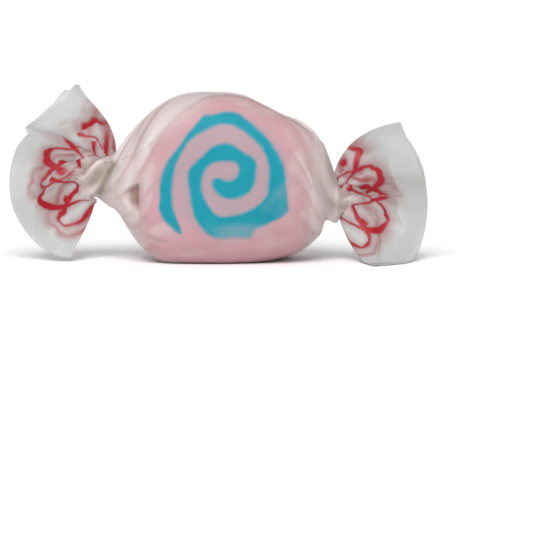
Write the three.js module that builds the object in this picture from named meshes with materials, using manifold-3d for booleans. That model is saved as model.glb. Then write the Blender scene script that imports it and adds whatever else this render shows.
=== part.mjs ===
// A piece of salt water taffy in its twisted waxed paper wrapper.
//
// The taffy is a rounded lump cut from a pulled rope: pink, with a blue swirl that runs through
// it from the front cut face to the back one. The paper is one sheet, rolled into a tube round
// the lump, twisted tight at both ends and pressed into a fan of two layers beyond each twist.
//
// Millimetres. +X runs along the wrapper, -Y is the side that shows the swirl, and +Z is up.
// The origin is the middle of the flat underside that the piece rests on.

import * as THREE from "three";
import Module from "manifold-3d";
import { ParametricGeometry } from "three/addons/geometries/ParametricGeometry.js";
import { mergeVertices } from "three/addons/utils/BufferGeometryUtils.js";

const { smoothstep, lerp, clamp, degToRad, radToDeg } = THREE.MathUtils;

// The wrapped lump, over the paper, from one twist to the other: distance along the wrapper,
// underside, top and half depth. What lies below the ground is pressed flat.
const OUTLINE = [
  [-17.2, 8.5, 13.5, 2.3],
  [-14.8, 6.8, 14.0, 3.3],
  [-12.8, 4.1, 16.2, 6.0],
  [-10.2, 0.9, 19.2, 8.1],
  [-6, -0.7, 21.8, 9.2],
  [-1, -0.9, 22.4, 9.5],
  [1.8, -0.9, 22.2, 9.5],
  [4.5, -0.8, 21.1, 9.3],
  [9, 0.5, 18.5, 8.3],
  [12, 2.9, 16.5, 6.3],
  [12.75, 3.8, 15.6, 5.4],
  [13.2, 5.2, 14.9, 4.8],
  [14.4, 4.9, 11.6, 3.0],
];
const MIDDLE_HEIGHT = 10.5;
const LUMP_DEPTH = 19;
const SECTION_SQUARENESS = 3.1; // seen from the end: 2 is round
const LUMPINESS = 0.018;
// Soft swells of the lump: how many go round it, how much each turns on along it, and its phase.
const SWELLS = [
  { count: 2, twist: 1 / 4, phase: 0.6 },
  { count: 3, twist: -1 / 5, phase: 0 },
];

// The taffy inside it.
const TAFFY_WIDTH = 26.6;
const TAFFY_SQUARENESS = 3.6;
const CLEARANCE = 0.3;

// The paper. In the twists its many layers make a nearly solid cord. The pleats that gather it
// there wind round the shoulders of the lump on their way into the twist.
const PAPER = 0.3;
const NECK_RADIUS = 2.3;
const NECK_CHANNEL = 0.5;
const CORD_SPREAD = 0.85; // how far along the sheet the cord's thick wall reaches, each way
const PLEATS = 4;
const PLEAT_DEPTH = 0.36;
const PLEATS_START = 8;
const PLEATS_FULL = 15;
const SLANT = degToRad(95); // how far a pleat has turned where it enters the twist
const SLANT_START = 6;
const SLANT_END = 15.5;
const SLANT_POWER = 1.4;

// The fans. Angles are seen from the front, up from the direction that points away from the lump.
const LEFT_FAN = {
  side: -1,
  neck: 17.2, // distance of the twist from the lump's middle
  height: 10.8,
  length: 11.6, // from the twist to the paper's edge
  opening: 4, // reach over which the round twist opens into the flat fan
  edgeOpening: 1.2, // the same for the fan's upper and lower edge
  lower: degToRad(-73),
  upper: degToRad(78),
  lowerLean: degToRad(-25), // how far the folds bow back towards the lump on their way out
  upperLean: degToRad(92),
  leanFade: 1.6,
  lowerSwing: degToRad(-12), // how far the lowest folds swing to the back, or to the front if negative
  upperSwing: degToRad(6),
  ruffles: 2.5,
  ruffleDepth: 0.65,
  rufflePhase: 0.4,
  corner: { fold: 0.97, spread: 0.17, rise: 1.2 },
};
const RIGHT_FAN = {
  side: 1,
  neck: 14.4,
  height: 8,
  length: 12.8,
  opening: 2.2,
  edgeOpening: 0.9,
  lower: degToRad(-61),
  upper: degToRad(50),
  lowerLean: degToRad(-18),
  upperLean: degToRad(54),
  leanFade: 1,
  lowerSwing: degToRad(-42),
  upperSwing: degToRad(-6),
  ruffles: 2,
  ruffleDepth: 0.8,
  rufflePhase: 2.4,
  corner: { fold: 0.97, spread: 0.2, rise: 0.9 },
};
const FAN_GAP = 0.75; // half the space over both layers near the twist
const FAN_GAP_GROWTH = 0.9;
const FAN_LIFT = 0.15; // how far the fans stay above the ground
const LOWER_SWING_START = 0.3; // how far down the fan its lowest folds begin to swing
const FOLD_TURN = 0.35; // how widely the paper turns at the fan's folded edges: 0 is a sharp fold
const CREASE = 0.93; // how sharply the ruffles turn: 0 is a wave, 1 is a folded edge
const EDGE_CREASE = 0.985; // how sharply the fan's folded edges turn

// The swirl, seen from the front: degrees travelled clockwise from the tail, distance of the
// ribbon's middle from the swirl's centre, and width of the ribbon.
const SWIRL_CENTRE = new THREE.Vector2(0.5, 11.35);
const SWIRL_START = 231; // direction of the tail's tip, in degrees up from +X
const SWIRL = [
  [3, 9.45, 0.3],
  [14, 9.19, 1.38],
  [24, 9.05, 1.85],
  [35, 8.54, 1.64],
  [56, 7.97, 1.5],
  [84, 7.38, 0.66],
  [105, 7.6, 1.06],
  [119, 7.94, 1.8],
  [140, 7.93, 1.54],
  [161, 7.17, 1.46],
  [196, 6.47, 1.42],
  [238, 6.33, 2.34],
  [259, 6.99, 3.4],
  [273, 6.52, 2.96],
  [291, 6.08, 2.68],
  [301, 6.38, 3.3],
  [322, 6.28, 2.7],
  [336, 6.38, 2.88],
  [374, 5.01, 2.06],
  [395, 4.5, 1.7],
  [423, 4.34, 1.96],
  [451, 3.82, 1.52],
  [486, 3.6, 2.3],
  [528, 3.15, 1.75],
  [556, 2.86, 2.7],
  [577, 2.3, 2.7],
  [605, 1.82, 2.9],
  [661, 1.47, 2.3],
  [720, 1.35, 2],
  [762, 1.33, 1.75],
  [776, 1.31, 0.8],
];
const SWIRL_STEP = 10; // degrees
const SWIRL_GAP = 0.2; // all round the ribbon

// Facets.
const AROUND = 52;
const FAN_STEPS = 8;
const SHOULDER_STEPS = 7;
const BODY_STEPS = 8;
const SHOULDER_START = 9;
const TAFFY_RINGS = 22;

// A smooth curve through a table whose first column is the position.
function curveThrough(table) {
  const positions = table.map(([position]) => position);
  const values = table.flatMap(([, ...rest]) => rest);
  return new THREE.CubicInterpolant(positions, values, table[0].length - 1);
}

const outline = curveThrough(OUTLINE);
const swirl = curveThrough(SWIRL);

function bump(value, at, spread) {
  return Math.exp(-(((value - at) / spread) ** 2));
}

// A wave with creased crests, from -1 to 1.
function creased(angle, sharpness = CREASE) {
  return Math.asin(sharpness * Math.sin(angle)) / Math.asin(sharpness);
}

function fanAt(x) {
  return x < 0 ? LEFT_FAN : RIGHT_FAN;
}

// Height of the line through the lump and both twists.
function axisHeight(x) {
  const fan = fanAt(x);
  return lerp(MIDDLE_HEIGHT, fan.height, smoothstep(Math.abs(x), LUMP_DEPTH / 2, fan.neck));
}

// Depth of the pleats that gather the paper into a twist, at an angle round the axis.
function pleat(x, theta) {
  const distance = Math.abs(x);
  const wound = clamp((distance - SLANT_START) / (SLANT_END - SLANT_START), 0, 1);
  const along = theta - SLANT * wound ** SLANT_POWER;
  const depth = PLEAT_DEPTH * smoothstep(distance, PLEATS_START, PLEATS_FULL);
  return depth * creased(PLEATS * along + Math.sin(along));
}

// Radius of the smooth wrapped form round the axis, without its pleats.
function smoothRadius(x, theta) {
  const [under, top, halfDepth] = outline.evaluate(x);
  const height = Math.sin(theta) > 0 ? top - axisHeight(x) : axisHeight(x) - under;
  const full = smoothstep(halfDepth, NECK_RADIUS, LUMP_DEPTH / 2);
  const power = lerp(2, SECTION_SQUARENESS, full);
  const across = Math.abs(Math.cos(theta)) / halfDepth;
  const up = Math.abs(Math.sin(theta)) / height;
  const swells = SWELLS.map(({ count, twist, phase }) => Math.sin(count * theta + twist * x + phase));
  const lumps = 1 + LUMPINESS * full * (swells[0] + swells[1]);
  return (across ** power + up ** power) ** (-1 / power) * lumps;
}

// Thickness of the wrapper's wall: one sheet on the lump and the fans, a cord in the twists.
function wallThickness(x) {
  const cord = NECK_RADIUS - PLEAT_DEPTH - NECK_CHANNEL;
  return lerp(PAPER, cord, bump(Math.abs(x), fanAt(x).neck, CORD_SPREAD));
}

// A point of the lump's surface, moved in from the paper's outside by an inset.
function lumpPoint(x, theta, inset, floor, target) {
  const radius = smoothRadius(x, theta) + pleat(x, theta) - inset;
  const z = axisHeight(x) + radius * Math.sin(theta);
  return target.set(x, radius * Math.cos(theta), Math.max(z, floor));
}

// Angle of a fan's fold at a reach, up from the direction that points away from the lump. The fold
// is 1 on the fan's upper folded edge and -1 on its lower one.
function foldAngle(fan, reach, fold) {
  const upperShare = (fold + 1) / 2;
  const open = smoothstep(reach, 0, lerp(fan.opening, fan.edgeOpening, fold ** 2));
  const toGo = Math.max(0, 1 - reach / fan.length);
  const lean = lerp(fan.lowerLean, fan.upperLean, upperShare) * toGo ** fan.leanFade;
  return open * (lerp(fan.lower, fan.upper, upperShare) + lean);
}

// A point of a fan, which opens from the round end of the twist into two flat layers.
function fanPoint(fan, reach, theta, inset, target) {
  const share = reach / fan.length;
  const open = smoothstep(reach, 0, fan.opening);
  const fold = creased(theta, EDGE_CREASE);
  const below = smoothstep(-fold, LOWER_SWING_START, 1);
  const above = smoothstep(fold, 0, 1);
  const swing = share * (fan.lowerSwing * below + fan.upperSwing * above);
  const rise = fan.corner.rise * share * bump(fold, fan.corner.fold, fan.corner.spread);
  const out = (reach + rise) * Math.cos(swing);
  const tuck = (inset / Math.max(reach, fan.opening)) * fold;
  const angle = foldAngle(fan, reach, fold) - open * tuck;

  const layer = Math.cos(theta) / Math.hypot(Math.cos(theta), FOLD_TURN);
  const gap = FAN_GAP + FAN_GAP_GROWTH * share - inset;
  const ruffle = fan.ruffleDepth * share * creased(Math.PI * fan.ruffles * fold + fan.rufflePhase);
  const twisted = smoothRadius(fan.side * fan.neck, theta) + pleat(fan.side * (fan.neck + reach), theta);
  const round = (twisted - inset) * (1 - open);

  return target.set(
    fan.side * (fan.neck + out * Math.cos(angle)),
    reach * Math.sin(swing) + ruffle + layer * gap * open + round * Math.cos(theta),
    Math.max(fan.height + out * Math.sin(angle) + round * Math.sin(theta), FAN_LIFT + inset),
  );
}

// A point of the wrapper. A position is the distance along the sheet, from the middle of the lump.
function wrapperPoint(position, theta, depth, target) {
  const fan = fanAt(position);
  const reach = Math.abs(position) - fan.neck;
  const inset = depth * wallThickness(position);
  if (reach > 0) return fanPoint(fan, reach, theta, inset, target);
  return lumpPoint(position, theta, inset, depth * PAPER, target);
}

// Positions along the sheet from one edge to the other, closer together where it gathers.
function sheetStations() {
  const stops = [
    [-LEFT_FAN.neck - LEFT_FAN.length, FAN_STEPS],
    [-LEFT_FAN.neck, SHOULDER_STEPS],
    [-SHOULDER_START, BODY_STEPS],
    [SHOULDER_START, SHOULDER_STEPS],
    [RIGHT_FAN.neck, FAN_STEPS],
  ];
  const end = RIGHT_FAN.neck + RIGHT_FAN.length;
  return stops
    .flatMap(([start, steps], i) => {
      const stop = i + 1 < stops.length ? stops[i + 1][0] : end;
      return Array.from({ length: steps }, (_, k) => lerp(start, stop, k / steps));
    })
    .concat(end);
}

// The paper is a tube with thick walls: out along its outside and back along its inside.
function wrapperGeometry() {
  const stations = sheetStations();
  const rows = stations.length;
  const place = (u, v, target) => {
    const row = Math.round(v * 2 * rows) % (2 * rows);
    const inside = row >= rows;
    const station = stations[inside ? 2 * rows - 1 - row : row];
    wrapperPoint(station, 2 * Math.PI * u, inside ? 1 : 0, target);
  };
  return new ParametricGeometry(place, AROUND, 2 * rows);
}

// How a rounded outline of the given half width closes towards its ends: 1 in the middle, 0 there.
function closing(x, halfWidth, squareness) {
  return Math.max(0, 1 - Math.abs(x / halfWidth) ** squareness) ** (1 / squareness);
}

// The lump of taffy: a sphere with its poles on the axis, drawn out to fill the paper.
function lumpGeometry() {
  const geometry = new THREE.SphereGeometry(1, AROUND, TAFFY_RINGS);
  geometry.rotateZ(-Math.PI / 2);
  const points = geometry.attributes.position;
  const point = new THREE.Vector3();
  for (let i = 0; i < points.count; i++) {
    point.fromBufferAttribute(points, i);
    const theta = Math.atan2(point.z, point.y);
    const x = (point.x * TAFFY_WIDTH) / 2;
    const wrapped = smoothRadius(x, theta) + pleat(x, theta);
    const filled = closing(x, TAFFY_WIDTH / 2, TAFFY_SQUARENESS) * smoothRadius(0, theta);
    const inset = Math.max(0, wrapped - filled) + PAPER + CLEARANCE;
    lumpPoint(x, theta, Math.min(inset, wrapped), PAPER + CLEARANCE, point);
    points.setXYZ(i, point.x, point.y, point.z);
  }
  return geometry;
}

// A point of the ribbon's edge in the plane of the cut face: side 1 is the outer edge, -1 the inner.
function swirlPoint(turn, side, margin) {
  const [radius, width] = swirl.evaluate(turn);
  const direction = degToRad(SWIRL_START - turn);
  const out = radius + side * (width / 2 + margin);
  return new THREE.Vector2(Math.cos(direction), Math.sin(direction)).multiplyScalar(out).add(SWIRL_CENTRE);
}

// The ribbon from front to back, as a prism that is wider all round by a margin.
function swirlPrism(margin) {
  const [start, end] = [SWIRL[0][0], SWIRL.at(-1)[0]];
  const count = Math.round((end - start) / SWIRL_STEP);
  const turns = Array.from({ length: count + 1 }, (_, i) => lerp(start, end, i / count));
  const edge = (side) => turns.map((turn) => swirlPoint(turn, side, margin));
  const past = (turn, step) => {
    const [radius] = swirl.evaluate(turn);
    return swirlPoint(turn + radToDeg((step * margin) / radius), 0, 0);
  };
  const ribbon = new THREE.Shape([...edge(1), past(end, 1), ...edge(-1).reverse(), past(start, -1)]);
  const prism = new THREE.ExtrudeGeometry(ribbon, { depth: 2 * LUMP_DEPTH, bevelEnabled: false });
  return prism.rotateX(Math.PI / 2).translate(0, LUMP_DEPTH, 0);
}

const wasm = await Module();
wasm.setup();

const WELD = 1e-4; // points closer than this are one

function weld(geometry) {
  geometry.deleteAttribute("normal");
  geometry.deleteAttribute("uv");
  return mergeVertices(geometry, WELD);
}

function solid(geometry) {
  const welded = weld(geometry);
  return new wasm.Manifold(
    new wasm.Mesh({
      numProp: 3,
      vertProperties: new Float32Array(welded.attributes.position.array),
      triVerts: new Uint32Array(welded.index.array),
    }),
  );
}

function geometryOf(manifold) {
  const made = manifold.getMesh();
  return new THREE.BufferGeometry()
    .setAttribute("position", new THREE.BufferAttribute(made.vertProperties, 3))
    .setIndex(new THREE.BufferAttribute(made.triVerts, 1));
}

function named(name, geometry, material) {
  const mesh = new THREE.Mesh(geometry, new THREE.MeshStandardMaterial(material));
  mesh.name = name;
  mesh.geometry.computeVertexNormals();
  return mesh;
}

const lump = solid(lumpGeometry());
const pink = lump.subtract(solid(swirlPrism(SWIRL_GAP)));
const blue = lump.intersect(solid(swirlPrism(0)));

const taffy = new THREE.Group();
taffy.add(
  named("taffy_pink", geometryOf(pink), { color: 0xe9aab6, roughness: 0.55, metalness: 0 }),
  named("taffy_blue_swirl", geometryOf(blue), { color: 0x2ba6bd, roughness: 0.55, metalness: 0 }),
);

const piece = new THREE.Group();
piece.add(
  taffy,
  named("waxed_paper", weld(wrapperGeometry()), {
    color: 0xe9e6e1,
    roughness: 0.45,
    metalness: 0,
    transparent: true,
    opacity: 0.5,
    side: THREE.DoubleSide,
  }),
);

export default piece;
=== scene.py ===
"""A piece of salt water taffy in its twisted waxed paper wrapper.

The taffy is a rounded lump of pink with a blue swirl through it. One sheet of thin waxed paper is
rolled round it with its free edge over the top, twisted at both ends and folded flat into fans.

Shapes are worked out in millimetres and laid down in metres. +X runs along the wrapper, -Y is the
side that shows the swirl, and +Z is up. An angle round the wrapper is 0 at the back, 90 degrees on
top, 180 at the front and 270 underneath.
"""

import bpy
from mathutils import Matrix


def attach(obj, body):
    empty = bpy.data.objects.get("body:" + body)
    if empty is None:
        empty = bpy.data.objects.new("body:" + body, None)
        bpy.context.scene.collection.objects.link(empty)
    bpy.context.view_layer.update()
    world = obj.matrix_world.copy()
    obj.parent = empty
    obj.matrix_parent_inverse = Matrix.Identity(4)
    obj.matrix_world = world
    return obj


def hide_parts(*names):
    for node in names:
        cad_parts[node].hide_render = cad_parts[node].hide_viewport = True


bl_info = {
    "name": "Wrapped Swirl Taffy",
    "version": (1, 0, 0),
    "blender": (4, 5, 0),
    "location": "View3D > Sidebar > Taffy",
    "description": "Models a swirled piece of taffy in a twisted waxed paper wrapper",
    "category": "Add Mesh",
}

import math

import bmesh
import bpy
import numpy as np
from bpy.props import FloatProperty, FloatVectorProperty, PointerProperty
from mathutils import Matrix, Vector

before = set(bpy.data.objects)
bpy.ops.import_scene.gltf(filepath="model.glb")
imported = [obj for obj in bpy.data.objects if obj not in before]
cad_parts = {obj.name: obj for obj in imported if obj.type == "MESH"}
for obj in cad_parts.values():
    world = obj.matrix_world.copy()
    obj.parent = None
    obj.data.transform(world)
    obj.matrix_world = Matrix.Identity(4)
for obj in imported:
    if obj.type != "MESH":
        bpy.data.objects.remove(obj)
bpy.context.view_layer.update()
MM = 0.001

# The wrapped lump, over the paper, from one twist to the other: distance along the wrapper,
# underside, top and half depth.
OUTLINE = (
    (-17.2, 8.5, 13.5, 2.3),
    (-14.8, 6.8, 14.0, 3.3),
    (-12.8, 4.1, 16.2, 6.0),
    (-10.2, 0.9, 19.2, 8.1),
    (-6, -0.7, 21.8, 9.2),
    (-1, -0.9, 22.4, 9.5),
    (1.8, -0.9, 22.2, 9.5),
    (4.5, -0.8, 21.1, 9.3),
    (9, 0.5, 18.5, 8.3),
    (12, 2.9, 16.5, 6.3),
    (12.75, 3.8, 15.6, 5.4),
    (13.2, 5.2, 14.9, 4.8),
    (14.4, 4.9, 11.6, 3.0),
)
MIDDLE_HEIGHT = 10.5
LUMP_DEPTH = 19
SECTION_SQUARENESS = 3.1
LUMPINESS = 0.018
NECK_RADIUS = 2.3
PAPER_REST = 0.06  # height of the paper's outside where the lump rests
TAFFY_REST = 0.14  # and of the taffy inside it

# The taffy.
TAFFY_WIDTH = 27.4
TAFFY_SQUARENESS = 3.6
TAFFY_INSET = 0.16  # from the paper's outside to the taffy

# The sheet of paper.
ROLLED = math.radians(403)  # angle that the sheet spans, with its overlap
OVERLAP = math.radians(43)
FLAP_FADE = 0.4  # angle over which the upper layer settles on the taffy
LAYER_STEP = 0.09  # how far the upper layer of the overlap lies over the lower one
EDGE_STEP = 0.15  # share of that step at the free edge
FREE_EDGE = ((-17, 150), (-14, 150), (-11, 152), (-7.3, 136), (-3.9, 121), (-1, 104), (4, 97), (15, 97))
TWIST_START = 11.5  # distance from the middle
TWIST_END = 19

# The fans. Angles are seen from the front, up from the direction that points away from the lump.
# A fold line is (angle round the sheet, place between the fan's lower edge at -1 and its upper one
# at 1, depth towards the back, extra length of the paper there). The place may change on the way
# out, and is then a list of (share of the way out, place). The round twist opens into the flat fan
# over the reach of opening, and its upper and lower edge over that of edge_opening.
LEFT_FAN = dict(
    side=-1, neck=17.2, height=10.8, length=11.6, turn=-33, opening=4, edge_opening=1.2,
    lower=-73, upper=78, lower_lean=-25, upper_lean=92, lean_fade=1.6,
    lower_swing=-12, upper_swing=6, ruffles=2.5, ruffle_depth=0.65, ruffle_phase=0.4,
    folds=(
        (74, 0.93, 0.3, 0.5),
        (90, 1.0, 0.0, 1.25),
        (93, 0.93, -0.12, 0.65),
        (95, 0.89, -0.18, 0.9),
        (101, 0.76, -0.32, -0.16),
        (108, 0.58, -0.4, -0.4),
        (114, 0.44, -0.42, -0.05),
        (116, 0.4, -0.42, -0.9),
        (122, 0.28, -0.45, -0.3),
        (150, -0.3, -0.5, 0.1),
        (190, ((0, 0.75), (0.2, 0.43), (0.3, 0.2), (0.41, 0.07), (0.55, -0.18), (0.75, -0.35),
               (0.95, -0.59), (1, -0.63)), -0.95, 0.1),
        (256, -0.86, -0.72, -0.1),
        (270, -1.0, 0.0, -0.5),
        (284, -0.86, 0.6, -0.1),
        (360, 0.0, 0.75, 0.0),
        (378, 0.24, 0.75, -0.2),
        (396, 0.45, 0.72, -0.9),
        (438, 0.85, 0.62, -0.4),
        (450, 1.02, 0.0, 1.1),
        (458, 0.86, -0.36, -0.35),
        (468, 0.64, -0.43, -0.75),
        (477, 0.44, -0.43, 0.1),
    ),
    creases=((101, 0.3), (190, 1), (256, 0.35), (396, 0.3)),
)
RIGHT_FAN = dict(
    side=1, neck=14.4, height=8, length=12.8, turn=-37, opening=2.2, edge_opening=0.9,
    lower=-61, upper=50, lower_lean=-18, upper_lean=54, lean_fade=1.0,
    lower_swing=-42, upper_swing=-6, ruffles=2, ruffle_depth=0.8, ruffle_phase=2.4,
    folds=(
        (17, 0.2, 0.4, -0.5),
        (78, 0.86, 0.35, 0.0),
        (90, 1.0, 0.0, 0.8),
        (102, 0.84, -0.55, -0.2),
        (130, 0.5, -0.7, -0.7),
        (175, -0.05, -0.75, -0.3),
        (212, -0.5, -0.75, 0.3),
        (228, -0.95, -0.6, 0.3),
        (246, ((0, 0.9), (0.12, 0.8), (0.25, 0.35), (0.38, -0.15), (0.52, -0.5), (0.75, -0.78),
               (1, -0.93)), -1.1, 0.2),
        (262, -0.98, -0.7, 0.1),
        (270, -1.0, 0.0, 0.0),
        (284, -0.86, 0.6, 0.0),
        (360, 0.0, 0.8, -0.3),
        (420, 0.62, 0.8, -0.6),
    ),
    creases=((130, 0.25), (228, 1), (246, 0.4), (360, 0.3)),
)
# A ridge pressed across the right fan, in the fan's plane from the end of the twist: from and to.
FRAME_LINE = ((7.4, 5.6), (9.4, -4.4))
PRINT_RADIUS = 6.5  # distance out at which the print is as wide as drawn
PRINT_SHIFT = 5  # how far it has moved on at the next layer
LAYER_ANGLE = math.radians(170)  # of the sheet in one layer
FAN_LIFT = 0.2  # how far the fans stay above the ground
TOP_TIGHTNESS = 0.45  # how much sooner the top of a fan leaves the round of the twist
TONGUE_ANGLES = (118, 130, 250, 262)  # angles round the sheet between which it doesn't
CREASE_WIDTH = math.radians(2.5)  # of the whitened line along a fold, on each side


def smoothstep(value, low, high):
    share = np.clip((value - low) / (high - low), 0, 1)
    return share * share * (3 - 2 * share)


def lerp(a, b, share):
    return a + (b - a) * share


def bump(value, at, spread):
    return np.exp(-(((value - at) / spread) ** 2))


def curve_through(table, at):
    """The columns of a smooth curve through a table whose first column is the position."""
    table = np.asarray(table, float)
    x, y = table[:, 0], table[:, 1:]
    slope = np.empty_like(y)
    slope[1:-1] = (y[2:] - y[:-2]) / (x[2:] - x[:-2])[:, None]
    slope[0] = 1.5 * (y[1] - y[0]) / (x[1] - x[0]) - slope[1] / 2
    slope[-1] = 1.5 * (y[-1] - y[-2]) / (x[-1] - x[-2]) - slope[-2] / 2
    at = np.clip(at, x[0], x[-1])
    i = np.clip(np.searchsorted(x, at, side="right") - 1, 0, len(x) - 2)
    step = (x[i + 1] - x[i])[..., None]
    t = (at - x[i])[..., None] / step
    made = (
        (1 + 2 * t) * (1 - t) ** 2 * y[i]
        + t * (1 - t) ** 2 * step * slope[i]
        + t * t * (3 - 2 * t) * y[i + 1]
        + t * t * (t - 1) * step * slope[i + 1]
    )
    return np.moveaxis(made, -1, 0)


def creased(angle, sharpness=0.93):
    """A wave from -1 to 1 with creased crests."""
    return np.arcsin(sharpness * np.sin(angle)) / math.asin(sharpness)


def wavy(x, y, seed, size, waves=6):
    """Soft unevenness from about -1 to 1 over a surface, in patches of the given size."""
    random = np.random.default_rng(seed)
    total = 0
    for _ in range(waves):
        heading, phase = random.uniform(0, 2 * math.pi, 2)
        length = size * random.uniform(1.4, 3.2)
        along = x * math.cos(heading) + y * math.sin(heading)
        total = total + np.sin(2 * math.pi * along / length + phase)
    return total / math.sqrt(2 * waves)


def axis_height(x):
    """Height of the line through the lump and both twists."""
    end_height = np.where(x < 0, LEFT_FAN["height"], RIGHT_FAN["height"])
    neck = np.where(x < 0, LEFT_FAN["neck"], RIGHT_FAN["neck"])
    return lerp(MIDDLE_HEIGHT, end_height, smoothstep(np.abs(x), LUMP_DEPTH / 2, neck))


def lump_radius(x, theta):
    """Radius of the smooth wrapped form round its axis."""
    under, top, half_depth = curve_through(OUTLINE, x)
    height = np.where(np.sin(theta) > 0, top - axis_height(x), axis_height(x) - under)
    full = smoothstep(half_depth, NECK_RADIUS, LUMP_DEPTH / 2)
    power = lerp(2, SECTION_SQUARENESS, full)
    across = np.abs(np.cos(theta)) / half_depth
    up = np.abs(np.sin(theta)) / height
    lumps = np.sin(2 * theta + x / 4 + 0.6) + np.sin(3 * theta - x / 5)
    return (across**power + up**power) ** (-1 / power) * (1 + LUMPINESS * full * lumps)


def round_axis(x, theta, radius, floor):
    """Points at a radius round the axis, pressed flat on the ground."""
    z = axis_height(x) + radius * np.sin(theta)
    return np.stack([x, radius * np.cos(theta), np.maximum(z, floor)], axis=-1)


# Shoulders and twists ---------------------------------------------------------------------------

SHOULDER_SETTLE = 0.2

# One fold of the left fan starts on top of the twist: angles round the sheet in degrees, how far
# each is pulled round there, and how far out it stands.
TUCK_ANGLES = (98, 150, 190, 256)
TUCK_SHIFTS = (0, 8, -75, 0)
TUCK_STANDS = (0, 0, 0.35, 0.1)
TUCK_START = 14.2
TUCK_FULL = 16.4
SLANT_START = 6  # distance from the middle at which the folds begin to turn
SLANT = math.radians(95)  # how far they have turned where they enter the twist
SLANT_END = 15.5


def wrapped(angle):
    """An angle brought between half a turn back and half a turn on."""
    return (angle + math.pi) % (2 * math.pi) - math.pi


def slanted(x, theta):
    """An angle that stays the same along a fold as it winds into the twist."""
    share = np.maximum(np.abs(x) - SLANT_START, 0) / (SLANT_END - SLANT_START)
    return theta - SLANT * share**1.8


def tension_folds(x, theta, seed, count, tall, half_width, start, full):
    """Height of the folds that run from a twist out over the lump, with uneven spacing and size."""
    random = np.random.default_rng(seed)
    reach = np.abs(x)
    radius = lump_radius(x, theta)
    height = np.zeros_like(x)
    for i in range(count):
        middle = 2 * math.pi * (i + random.uniform(-0.35, 0.35)) / count
        size = random.uniform(0.4, 1)
        begins = start + random.uniform(-1.5, 2.5)
        wide = half_width * random.uniform(0.7, 1.3)
        distance = wrapped(slanted(x, theta) - middle) * radius
        steep = np.where(distance > 0, wide * 0.35, wide)
        ridge = np.clip(1 - np.abs(distance) / steep, 0, 1)
        height = np.maximum(height, tall * size * smoothstep(reach, begins, full) * ridge)
    return height


def tension_streaks(x, theta):
    """Fine streaks from -1 to 1 that run along the shoulders into the twists: painted highlight on them,
    painted shade between them, and milkier paper where they lift it.
    """
    along = slanted(x, theta) + 0.4 * (x > 0)
    total = np.sin(9 * along + 1) + np.sin(14 * along + 2.6) + 0.8 * np.sin(23 * along)
    total = total + 0.6 * np.sin(37 * along + 4)
    return np.clip(total / 2, -1, 1) * smoothstep(np.abs(x), 5.5, 9.5)


def shoulder_folds(x, theta):
    """Broad soft folds and fine sharp ones, each side with its own."""
    total = np.zeros_like(x)
    for side, seed in ((-1, 11), (1, 23)):
        broad = tension_folds(x, theta, seed, 7, 0.75, 2.6, 6.5, 13.0)
        fine = tension_folds(x, theta, seed + 1, 11, 0.22, 0.7, 9.5, 13.0)
        total = np.where(np.sign(x) == side, broad + fine, total)
    return total


def neck_folds(x, theta):
    """The few thick folds of a twist, which are flatter on top and on the right."""
    along = slanted(x, theta)
    thick = creased(5 * along + 0.9 * np.sin(along + 0.4), 0.9)
    thin = creased(9 * along + 1.3 * np.sin(2 * along), 0.9)
    flatter = (1 - 0.65 * smoothstep(np.sin(theta), 0.7, 0.95)) * np.where(x > 0, 0.6, 1)
    return (0.29 * thick + 0.1 * thin) * flatter


def shade_of(x, theta, twisted):
    """How much painted shade the paper gets between a twist's folds, less on the right and underneath,
    where the folds are open.
    """
    open_side = np.where(x > 0, 0.6, 1) * (1 - 0.7 * smoothstep(-np.sin(theta), 0.2, 0.8))
    return np.clip(0.5 - 1.6 * twisted, 0, 1) * open_side


def gathered_at(x):
    """How far the paper is gathered into a twist: 0 on the lump, 1 in the twist."""
    neck = np.where(x < 0, LEFT_FAN["neck"], RIGHT_FAN["neck"])
    return smoothstep(np.abs(x), neck - 4, neck)


def settled_at(x):
    """How far the paper lies in from the smooth form between the folds."""
    return SHOULDER_SETTLE * smoothstep(np.abs(x), 8.5, 13)


# Single folds of a face of the lump, as seen by a viewer who faces it: from and to (x, z), height,
# and half width on the left and on the right of the line as it runs. A negative height is a valley.
FACE_FOLDS = (
    ((-10.7, 6.6), (-10.5, 11.2), 0.35, 0.5, 1.0),
    ((-10.1, 3.4), (-7.9, 2.7), -0.3, 0.5, 0.35),
    ((-2.1, 2.3), (5.9, 2.2), 0.2, 0.8, 0.8),
    ((5.9, 2.2), (11.5, 4.2), 0.2, 0.8, 0.8),
    ((5.3, 7.4), (9.0, 12.1), 0.15, 1.1, 0.7),
    ((5.1, 21.2), (8.0, 17.8), 0.2, 1.2, 0.8),
    ((8.0, 17.8), (9.9, 15.1), 0.3, 1.4, 0.9),
    ((9.9, 15.1), (11.3, 11.0), 0.35, 1.4, 0.9),
    ((11.3, 11.0), (11.9, 7.0), 0.35, 1.4, 0.9),
    ((-10.9, 14.6), (-6.6, 18.4), 0.3, 1.2, 1.6),
    ((-6.6, 18.4), (-2.4, 21.2), 0.2, 1.2, 1.6),
)

# Milky patches on the face: middle (x, z), half width and half height, and how milky.
VEILS = (
    ((8.3, 8.2), (2.2, 3.4), 0.08),
    ((2.0, 4.3), (4.8, 1.5), 0.2),
    ((9.6, 5.0), (2.6, 2.2), 0.12),
    ((10.5, 10.6), (1.0, 2.4), 0.5),
    ((10.2, 6.0), (0.7, 1.6), 0.35),
    ((-8.6, 4.6), (2.2, 1.1), 0.4),
    ((-9.9, 9.0), (0.8, 2.2), 0.35),
    ((5.2, 20.1), (3.2, 0.8), 0.4),
    ((-4.4, 1.6), (3.0, 0.6), 0.3),
    ((-10.0, 12.5), (1.4, 2.8), 0.65),
    ((9.6, 12.2), (1.9, 3.0), 0.4),
    ((5.7, 3.1), (3.0, 1.1), 0.2),
    ((3.2, 21.3), (2.4, 1.0), 0.5),
)

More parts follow.
